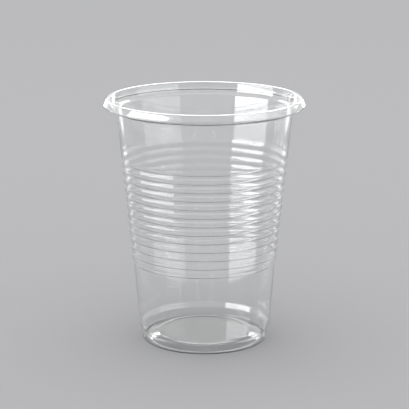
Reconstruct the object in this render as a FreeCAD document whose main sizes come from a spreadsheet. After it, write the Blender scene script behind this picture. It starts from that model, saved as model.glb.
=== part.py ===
import FreeCAD, Part
import Sketcher
import math
import os

# A clear plastic disposable cup, formed in one piece from one thin sheet of plastic.
# The origin is the middle of the foot, at the level that the cup stands on, with +Z up.
# One sketch holds the line of the sheet's outer face in half section, from the middle of the floor
# to the edge tucked in under the rim. The wall's thickness is laid on the inner side of that line,
# and the section is turned round the cup's axis.

doc = FreeCAD.newDocument("disposable_cup")
sizes = doc.addObject("Spreadsheet::Sheet", "Sizes")

# Sizes in millimetres. A radius or a height is that of the sheet's outer face, unless the note says more
SIZES = [
    ("wall", 0.25, "thickness of the formed sheet"),
    ("rim_radius", 35.15, "widest point of the rolled rim, over all"),
    ("rim_height", 86.9, "highest point of the rolled rim, over all"),
    ("foot_radius", 22.6, "upright wall of the foot"),
    ("foot_height", 3.3, "top of the foot's wall"),
    ("foot_chamfer", 0.45, "broken edge below the foot's wall"),
    ("ring_width", 2.2, "flat ring that the cup stands on, in from the foot's wall"),
    ("slope_width", 4.2, "slope from the ring up to the raised floor"),
    ("floor_height", 1.7, "underside of the raised floor"),
    ("shoulder_width", 0.9, "how far the stacking shoulder stands out over the foot"),
    ("shoulder_rise", 1.6, "height of the stacking shoulder above the foot's wall"),
    ("ribs_radius", 25.75, "crest of the lowest rib"),
    ("ribs_height", 29.75, "crest of the lowest rib"),
    ("rib_count", 12, "ribs, one above the other, below the edge of the smooth wall"),
    ("rib_pitch", 3.05, "height of one rib with the groove above it"),
    ("rib_gain", 0.3, "how much wider each rib is than the one below"),
    ("groove_depth", 0.6, "bottom of each groove, in from the crest above it"),
    ("groove_drop", 1.5, "bottom of each groove, down from the crest above it"),
    ("ledge_width", 2.0, "ledge inside the rim, out from the smooth wall"),
    ("ledge_rise", 0.9, "how much the ledge rises to its outer edge"),
    ("roll_width", 2.3, "rolled rim, out from the ledge to its widest point"),
    ("roll_height", 3.7, "rolled rim, up from the ledge's outer edge to its highest point"),
    ("roll_lean", 0.66, "how far the rim's lower bend stands outside its upper one"),
    ("roll_drop", 1.5, "how far the rim's lower bend lies below its upper one"),
    ("bend_radius", 0.8, "outside of both bends of the rim"),
    ("tuck_length", 0.5, "flat end of the sheet, tucked in under the rim"),
]
for row, (name, value, note) in enumerate(SIZES, start=1):
    sizes.set("A%d" % row, name)
    sizes.set("B%d" % row, str(value))
    sizes.set("C%d" % row, note)
    sizes.setAlias("B%d" % row, name)
doc.recompute()


class Length:
    """A length in millimetres, and the formula that ties it to the sheet of sizes."""

    def __init__(self, value, formula):
        self.value = value
        self.formula = formula

    def __add__(self, other):
        return Length(self.value + other.value, "%s + %s" % (self.formula, other.formula))

    def __sub__(self, other):
        return Length(self.value - other.value, "%s - %s" % (self.formula, other.formula))

    def __mul__(self, times):
        return Length(self.value * times, "%s * %d" % (self.formula, times))


def size(name):
    return Length(float(sizes.get(name)), "Sizes." + name)


def origin_part(body, role):
    """One of a body's own origin planes or axes."""
    return next(part for part in body.Origin.OriginFeatures if part.Role == role)


# The cup, and the sketch of the line of its sheet
cup = doc.addObject("PartDesign::Body", "cup")
cup.Label = "cup"
cup.Placement = FreeCAD.Placement()
line = cup.newObject("Sketcher::SketchObject", "sheet_line")
line.AttachmentSupport = [(origin_part(cup, "XZ_Plane"), "")]
line.MapMode = "FlatFace"

# Places in the sketch are a piece of its geometry and a point on it
START, END, CENTRE = 1, 2, 3


def level_axis(*point):
    """The sketch's own level axis, which is the ground, or with START the point where the two axes cross."""
    return (-1, *point)


def upright_axis():
    """The sketch's own upright axis, which is the cup's."""
    return (-2,)


def tie(kind, *places, length=None):
    """Adds a constraint, and ties its length, where it has one, to the sheet of sizes."""
    numbers = [number for place in places for number in place]
    if length is None:
        line.addConstraint(Sketcher.Constraint(kind, *numbers))
    else:
        made = line.addConstraint(Sketcher.Constraint(kind, *numbers, length.value))
        line.setExpression("Constraints[%d]" % made, length.formula)


def hold(place, radius, height):
    """Holds a point at its radius and its height, where no height is the level of the ground."""
    tie("DistanceX", level_axis(START), place, length=radius)
    if height is None:
        tie("PointOnObject", place, level_axis())
    else:
        tie("DistanceY", level_axis(START), place, length=height)


def point(radius, height):
    return FreeCAD.Vector(radius.value, height.value if height else 0, 0)


def stretch(start, end, before=None):
    """Draws a straight stretch, joined to the end of the one before it."""
    drawn = line.addGeometry(Part.LineSegment(start, end), False)
    if before is not None:
        tie("Coincident", (before, END), (drawn, START))
    return drawn


def bend(centre, from_angle, to_angle):
    """Draws an arc of the rolled rim about a centre held by sizes. Its radius is the sheet's inner one."""
    hollow = size("bend_radius") - size("wall")
    circle = Part.Circle(point(*centre), FreeCAD.Vector(0, 0, 1), hollow.value)
    drawn = line.addGeometry(Part.ArcOfCircle(circle, from_angle, to_angle), False)
    tie("Radius", (drawn,), length=hollow)
    hold((drawn, CENTRE), *centre)
    return drawn


# The corners of the line, as a radius and a height: the foot, the shoulder and the lower wall,
# then the grooves and crests by turns, up to the smooth wall's own lower edge, and then the ledge
ring_radius = size("foot_radius") - size("ring_width")
shoulder_corner = (size("foot_radius") + size("shoulder_width"), size("foot_height") + size("shoulder_rise"))
ledge_corner = (size("rim_radius") - size("roll_width"), size("rim_height") - size("roll_height"))
neck_corner = (ledge_corner[0] - size("ledge_width"), ledge_corner[1] - size("ledge_rise"))
corners = [
    (ring_radius, None),
    (size("foot_radius") - size("foot_chamfer"), None),
    (size("foot_radius"), size("foot_chamfer")),
    (size("foot_radius"), size("foot_height")),
    shoulder_corner,
]
for rib in range(round(size("rib_count").value) + 1):
    crest_radius = size("ribs_radius") + size("rib_gain") * rib
    crest_height = size("ribs_height") + size("rib_pitch") * rib
    corners.append((crest_radius - size("groove_depth"), crest_height - size("groove_drop")))
    corners.append((crest_radius, crest_height))
corners.append(neck_corner)
corners.append(ledge_corner)

# The raised floor starts the line at the axis, and one stretch runs from each corner to the next
floor_edge = (ring_radius - size("slope_width"), size("floor_height"))
floor_middle = FreeCAD.Vector(0, size("floor_height").value, 0)
last = stretch(floor_middle, point(*floor_edge))
tie("PointOnObject", (last, START), upright_axis())
tie("Horizontal", (last,))
hold((last, END), *floor_edge)
corner_before = floor_edge
for corner in corners:
    last = stretch(point(*corner_before), point(*corner), last)
    hold((last, END), *corner)
    corner_before = corner

# The rolled rim: up from the ledge, over the upper bend, down a leaning side, round the lower bend,
# and a flat end tucked in under it. Each stretch runs smoothly into the bends
upper_centre = (size("rim_radius") - size("bend_radius") - size("roll_lean"),
                size("rim_height") - size("bend_radius"))
lower_centre = (size("rim_radius") - size("bend_radius"),
                size("rim_height") - size("bend_radius") - size("roll_drop"))
lean = math.atan2(size("roll_lean").value, size("roll_drop").value)
upper_bend = bend(upper_centre, lean, math.pi)
lower_bend = bend(lower_centre, -math.pi / 2, lean)
upper_arc = line.Geometry[upper_bend]
lower_arc = line.Geometry[lower_bend]
riser = stretch(point(*corner_before), upper_arc.EndPoint, last)
tie("Tangent", (riser, END), (upper_bend, END))
side = stretch(upper_arc.StartPoint, lower_arc.EndPoint)
tie("Tangent", (upper_bend, START), (side, START))
tie("Tangent", (side, END), (lower_bend, END))
inward = FreeCAD.Vector(-size("tuck_length").value, 0, 0)
tuck = stretch(lower_arc.StartPoint, lower_arc.StartPoint + inward)
tie("Tangent", (lower_bend, START), (tuck, START))
tie("Horizontal", (tuck,))
tie("DistanceX", (tuck, END), (tuck, START), length=size("tuck_length"))
doc.recompute()

# The sheet's section, and the cup turned from it
section = cup.newObject("PartDesign::SubShapeBinder", "sheet_section")
section.Support = [(line, ("",))]
section.OffsetJoinType = "Intersection"
section.OffsetFill = True
section.OffsetOpenResult = True
doc.recompute()
section.setExpression("Offset", size("wall").formula)
doc.recompute()
formed = cup.newObject("PartDesign::Revolution", "formed_sheet")
formed.Profile = section
formed.ReferenceAxis = (origin_part(cup, "Z_Axis"), [""])
formed.Angle = 360
doc.recompute()

# Nothing is written unless every object worked and the cup is one sound solid
for made in doc.Objects:
    if "Invalid" in made.State or "Error" in made.State:
        raise RuntimeError("%s failed: %s" % (made.Name, made.State))
if not line.FullyConstrained:
    raise RuntimeError("the line of the sheet is not fully held by its sizes")
if cup.Shape.isNull() or not cup.Shape.isValid() or len(cup.Shape.Solids) != 1:
    raise RuntimeError("the cup is not one sound solid")

os.makedirs("parts", exist_ok=True)
cup.Shape.exportStep("parts/%s.step" % cup.Label)
print("%s: %.0f cubic mm of plastic" % (cup.Label, cup.Shape.Volume))
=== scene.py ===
import math

import bmesh
import bpy
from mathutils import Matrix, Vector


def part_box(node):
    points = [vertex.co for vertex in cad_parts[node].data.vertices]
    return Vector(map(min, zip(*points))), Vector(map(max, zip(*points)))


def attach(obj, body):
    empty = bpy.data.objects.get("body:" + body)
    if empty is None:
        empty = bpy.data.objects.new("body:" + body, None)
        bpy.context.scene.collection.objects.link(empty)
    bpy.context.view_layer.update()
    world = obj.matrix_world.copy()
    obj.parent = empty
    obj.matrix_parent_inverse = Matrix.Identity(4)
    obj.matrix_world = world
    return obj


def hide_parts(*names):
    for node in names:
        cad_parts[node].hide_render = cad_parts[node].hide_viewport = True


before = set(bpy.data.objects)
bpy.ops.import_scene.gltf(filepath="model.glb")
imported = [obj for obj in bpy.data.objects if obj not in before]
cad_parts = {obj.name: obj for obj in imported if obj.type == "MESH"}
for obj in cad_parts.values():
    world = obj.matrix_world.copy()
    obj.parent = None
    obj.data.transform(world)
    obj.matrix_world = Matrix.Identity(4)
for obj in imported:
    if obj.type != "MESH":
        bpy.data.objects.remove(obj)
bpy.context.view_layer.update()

MM = 0.001

# The shell of the cup
# One thin sheet of clear plastic, drawn into a mould in one piece: a raised floor inside a flat foot,
# a shoulder that keeps stacked cups apart, a band of ribs that stiffens the wall, and a rolled rim.
# Each ring is a radius and a height of the sheet's outer face, from the floor to the tucked-in end.
rim_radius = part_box("cup")[1].x
rim_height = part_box("cup")[1].z
wall = 0.25 * MM
segments_around = 180

panel_radius, panel_drop = 15.0 * MM, 0.12 * MM
floor_radius, floor_height = 16.2 * MM, 1.7 * MM
ring_radius = 20.4 * MM
foot_radius, foot_height = 22.6 * MM, 3.3 * MM
shoulder_radius, shoulder_height = 23.5 * MM, 4.9 * MM

crest_radius, crest_height = 25.76 * MM, 29.75 * MM
rib_count = 12
rib_pitch, rib_gain = 3.05 * MM, 0.3 * MM
groove_drop = 1.5 * MM
lowest_groove, deepest_groove, groove_gain = 0.45 * MM, 0.65 * MM, 0.03 * MM
groove_depths = [min(deepest_groove, lowest_groove + groove_gain * rib) for rib in range(rib_count + 1)]
lip_width, lip_rise = 0.12 * MM, 0.06 * MM

neck_radius, neck_height = 30.85 * MM, 82.3 * MM
ledge_radius, ledge_height = 32.85 * MM, 83.2 * MM

bend_radius = 0.8 * MM
roll_lean, roll_drop = 0.66 * MM, 1.5 * MM
tuck_length = 0.5 * MM
bend_steps = 10

crests = [(crest_radius + rib * rib_gain, crest_height + rib * rib_pitch)
          for rib in range(rib_count + 1)]
grooves = [(radius - depth, height - groove_drop)
           for (radius, height), depth in zip(crests, groove_depths)]
lips = [(radius + lip_width, height + lip_rise) for radius, height in grooves]


def bend(centre, from_angle, to_angle):
    """The rings round one bend of the rolled rim, on the hollow side of the sheet."""
    hollow = bend_radius - wall
    for step in range(bend_steps + 1):
        angle = from_angle + (to_angle - from_angle) * step / bend_steps
        yield centre[0] + hollow * math.cos(angle), centre[1] + hollow * math.sin(angle)


lower_centre = (rim_radius - bend_radius, rim_height - bend_radius - roll_drop)
upper_centre = (lower_centre[0] - roll_lean, rim_height - bend_radius)
lean = math.atan2(roll_lean, roll_drop)

rings = [(panel_radius / 2, floor_height - panel_drop),
         (panel_radius, floor_height - panel_drop),
         (panel_radius + panel_drop, floor_height),
         (floor_radius, floor_height),
         (ring_radius, 0),
         (foot_radius, 0),
         (foot_radius, foot_height),
         (shoulder_radius, shoulder_height)]
for groove, lip, crest in zip(grooves, lips, crests):
    rings += [groove, lip, crest]
rings += [(neck_radius, neck_height), (ledge_radius, ledge_height)]
rings += bend(upper_centre, math.pi, lean)
rings += bend(lower_centre, lean, -math.pi / 2)
rings += [(lower_centre[0] - tuck_length, rings[-1][1])]

bpy.ops.object.select_all(action="DESELECT")
bpy.ops.mesh.primitive_circle_add(vertices=segments_around, radius=rings[0][0], location=(0, 0, rings[0][1]))
shell = bpy.context.object
shell.name = shell.data.name = "cup_shell"
bpy.ops.object.transform_apply(location=True)
bpy.ops.object.mode_set(mode="EDIT")
bpy.ops.mesh.select_mode(type="EDGE")
bpy.ops.mesh.select_all(action="SELECT")
for (radius_before, height_before), (radius, height) in zip(rings, rings[1:]):
    bpy.ops.mesh.extrude_region_move(TRANSFORM_OT_translate={"value": (0, 0, height - height_before)})
    bpy.ops.transform.resize(value=(radius / radius_before, radius / radius_before, 1),
                             center_override=(0, 0, height))


def select_rings(places):
    """Selects the rings of edges that lie at these radii and heights."""
    near = 0.01 * MM
    mesh = bmesh.from_edit_mesh(shell.data)
    for edge in mesh.edges:
        ends = [(math.hypot(point.co.x, point.co.y), point.co.z) for point in edge.verts]
        edge.select_set(any(all(abs(end[0] - place[0]) < near and abs(end[1] - place[1]) < near
                                for end in ends) for place in places))
    bmesh.update_edit_mesh(shell.data)


# The mould's edges are rounded, so each corner of the sheet is a small bend: how far each bend reaches
# from its corner, the steps that it is made in, and the corners that have it
roundings = [
    (0.35 * MM, 5, crests),
    (0.05 * MM, 2, [*grooves, *lips]),
    (0.5 * MM, 4, [(floor_radius, floor_height), (ring_radius, 0)]),
    (0.5 * MM, 5, [(foot_radius, 0)]),
    (0.25 * MM, 4, [(foot_radius, foot_height), (shoulder_radius, shoulder_height)]),
    (0.2 * MM, 3, [(neck_radius, neck_height), (ledge_radius, ledge_height)]),
]
for reach, steps, places in roundings:
    select_rings(places)
    bpy.ops.mesh.bevel(offset_type="ABSOLUTE", offset=reach, segments=steps, affect="EDGES")

# The middle of the floor closes the sheet, and then the sheet gets its thickness, on its inner side
merge_distance = 0.001 * MM
crease_angle = math.radians(40)
select_rings([rings[0]])
bpy.ops.mesh.edge_face_add()
bpy.ops.mesh.select_all(action="SELECT")
bpy.ops.mesh.remove_doubles(threshold=merge_distance)
bpy.ops.mesh.normals_make_consistent(inside=False)
bpy.ops.object.mode_set(mode="OBJECT")
thickness = shell.modifiers.new("thickness", "SOLIDIFY")
thickness.thickness = wall
thickness.offset = 1
thickness.use_even_offset = True
bpy.ops.object.modifier_apply(modifier=thickness.name)
bpy.ops.object.shade_smooth_by_angle(angle=crease_angle)


refraction = 1.57
least_haze, most_haze = 0.02, 0.07
thick_tint, thin_tint = (0.955, 0.965, 0.965, 1), (0.985, 0.99, 0.99, 1)
wave_height, grain_height = 0.02 * MM, 0.0015 * MM


def clear_plastic():
    """Clear, glossy plastic with the faint waviness and fine haze of a thin formed sheet."""
    material = bpy.data.materials.new("clear_plastic")
    material.use_nodes = True
    nodes = material.node_tree.nodes
    links = material.node_tree.links
    shader = nodes["Principled BSDF"]
    shader.inputs["Transmission Weight"].default_value = 1.0
    shader.inputs["IOR"].default_value = refraction
    shader.inputs["Metallic"].default_value = 0.0
    place = nodes.new("ShaderNodeTexCoord")

    def noise(name, scale, detail, stretch=(1, 1, 1)):
        turned = nodes.new("ShaderNodeMapping")
        turned.inputs["Scale"].default_value = stretch
        links.new(place.outputs["Object"], turned.inputs["Vector"])
        made = nodes.new("ShaderNodeTexNoise")
        made.label = name
        made.inputs["Scale"].default_value = scale
        made.inputs["Detail"].default_value = detail
        links.new(turned.outputs["Vector"], made.inputs["Vector"])
        return made.outputs["Fac"]

    def spread(value, low, high):
        made = nodes.new("ShaderNodeMapRange")
        made.inputs["To Min"].default_value = low
        made.inputs["To Max"].default_value = high
        links.new(value, made.inputs["Value"])
        return made.outputs["Result"]

    haze = noise("haze", 260, 4)
    links.new(spread(haze, least_haze, most_haze), shader.inputs["Roughness"])

    tint = nodes.new("ShaderNodeMix")
    tint.data_type = "RGBA"
    tint.inputs["A"].default_value = thick_tint
    tint.inputs["B"].default_value = thin_tint
    links.new(noise("thickness of the sheet", 45, 2), tint.inputs["Factor"])
    links.new(tint.outputs["Result"], shader.inputs["Base Color"])

    wave = nodes.new("ShaderNodeBump")
    wave.inputs["Strength"].default_value = 1.0
    wave.inputs["Distance"].default_value = wave_height
    links.new(noise("waviness", 110, 1, (1, 1, 0.6)), wave.inputs["Height"])
    grain = nodes.new("ShaderNodeBump")
    grain.inputs["Strength"].default_value = 1.0
    grain.inputs["Distance"].default_value = grain_height
    links.new(noise("drawn grain", 1400, 3, (1, 1, 0.12)), grain.inputs["Height"])
    links.new(wave.outputs["Normal"], grain.inputs["Normal"])
    links.new(grain.outputs["Normal"], shader.inputs["Normal"])
    return material


shell.data.materials.append(clear_plastic())
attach(shell, "root")
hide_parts("cup")

# The floor
# A plain pale studio surface with a matt finish, wide enough to reach past every view. It is of painted
# board, and the cup stands free on it.
floor_size = 8.0
floor_colour = (0.48, 0.48, 0.49, 1)
floor_roughness = 0.8
bpy.ops.object.select_all(action="DESELECT")
bpy.ops.mesh.primitive_plane_add(size=floor_size)
floor = bpy.context.object
floor.name = floor.data.name = "floor"
floor_finish = bpy.data.materials.new("pale_floor")
floor_finish.use_nodes = True
floor_shader = floor_finish.node_tree.nodes["Principled BSDF"]
floor_shader.inputs["Base Color"].default_value = floor_colour
floor_shader.inputs["Roughness"].default_value = floor_roughness
floor_shader.inputs["Specular IOR Level"].default_value = 0.0
floor.data.materials.append(floor_finish)

# The light
# Soft studio light. A plain room lights all sides alike, with one soft box overhead for the shadow.
# A large box on the left, weaker ones on the right and high behind, and two strips behind are there
# for their reflections in the plastic, as in the photograph, and don't light the floor.


def soft_box(name, azimuth, distance, width, bottom, top, radiance):
    """A soft box that faces the cup and shows in reflections alone, so it isn't seen through the plastic.

    Azimuth is in degrees, from the viewer's side round to the right. Bottom and top are heights.
    """
    turn = math.radians(azimuth)
    height = top - bottom
    light = bpy.data.lights.new(name, "AREA")
    light.shape = "RECTANGLE"
    light.size = width
    light.size_y = height
    light.energy = radiance * math.pi * width * height
    light.use_nodes = True
    nodes = light.node_tree.nodes
    links = light.node_tree.links
    ray = nodes.new("ShaderNodeLightPath")
    reflected = nodes.new("ShaderNodeMath")
    reflected.operation = "MINIMUM"
    reflected.inputs[1].default_value = 1.0
    links.new(ray.outputs["Glossy Depth"], reflected.inputs[0])
    links.new(reflected.outputs["Value"], nodes["Emission"].inputs["Strength"])
    lamp = bpy.data.objects.new(name, light)
    lamp.location = (distance * math.sin(turn), -distance * math.cos(turn), (top + bottom) / 2)
    lamp.rotation_euler = (math.pi / 2, 0, turn)
    lamp.visible_camera = False
    lamp.visible_diffuse = False
    bpy.context.scene.collection.objects.link(lamp)
    return lamp


# Each box's name, azimuth, distance, width, bottom, top and radiance
for box in [("soft_box_left", -70, 0.55, 0.56, 0.120, 0.50, 6.5),
            ("soft_box_left_low", -70, 0.55, 0.56, 0.004, 0.120, 2.5),
            ("soft_box_right", 64, 0.60, 0.70, 0.004, 0.45, 1.2),
            ("strip_left", -155, 0.60, 0.13, 0.004, 0.30, 5.5),
            ("strip_right", 155, 0.60, 0.13, 0.004, 0.30, 5.0),
            ("soft_box_back", 180, 0.80, 0.60, 0.42, 0.80, 2.6)]:
    soft_box(*box)

top_width, top_depth, top_radiance = 0.9, 0.6, 0.35
top_place = (0, 0.35, 0.95)
top_light = bpy.data.lights.new("soft_box_top", "AREA")
top_light.shape = "RECTANGLE"
top_light.size = top_width
top_light.size_y = top_depth
top_light.energy = top_radiance * math.pi * top_width * top_depth
top_lamp = bpy.data.objects.new("soft_box_top", top_light)
top_lamp.location = top_place
top_lamp.visible_camera = False
bpy.context.scene.collection.objects.link(top_lamp)

# The room. Rays that come straight from the viewer, or through the plastic, meet a backdrop of the
# floor's own shade, and all others meet the room's pale walls
room_colour = (1.0, 1.0, 1.0, 1)
backdrop_colour = (0.48, 0.48, 0.49, 1)
room = bpy.data.worlds.new("room")
bpy.context.scene.world = room
room.use_nodes = True
room.cycles.sampling_method = "NONE"
room_nodes = room.node_tree.nodes
room_links = room.node_tree.links
ray = room_nodes.new("ShaderNodeLightPath")
bounces = room_nodes.new("ShaderNodeMath")
room_links.new(ray.outputs["Diffuse Depth"], bounces.inputs[0])
room_links.new(ray.outputs["Glossy Depth"], bounces.inputs[1])
straight = room_nodes.new("ShaderNodeMath")
straight.operation = "LESS_THAN"
straight.inputs[1].default_value = 0.5
room_links.new(bounces.outputs["Value"], straight.inputs[0])
backdrop = room_nodes.new("ShaderNodeMix")
backdrop.data_type = "RGBA"
backdrop.inputs["A"].default_value = room_colour
backdrop.inputs["B"].default_value = backdrop_colour
room_links.new(straight.outputs["Value"], backdrop.inputs["Factor"])
room_links.new(backdrop.outputs["Result"], room_nodes["Background"].inputs["Color"])

# The camera
# At the photograph's viewing angle: just above the rim, looking down by about 14 degrees.
camera_distance, camera_height = 0.536, 0.1816
camera_dip = math.radians(13.97)
camera_data = bpy.data.cameras.new("camera")
camera_data.lens = 137.0
camera_data.sensor_width = 36.0
camera_data.clip_start = 0.01
camera = bpy.data.objects.new("camera", camera_data)
camera.location = (0, -camera_distance, camera_height)
camera.rotation_euler = (math.pi / 2 - camera_dip, 0, 0)
bpy.context.scene.collection.objects.link(camera)
bpy.context.scene.camera = camera
bpy.context.scene.view_settings.view_transform = "Standard"
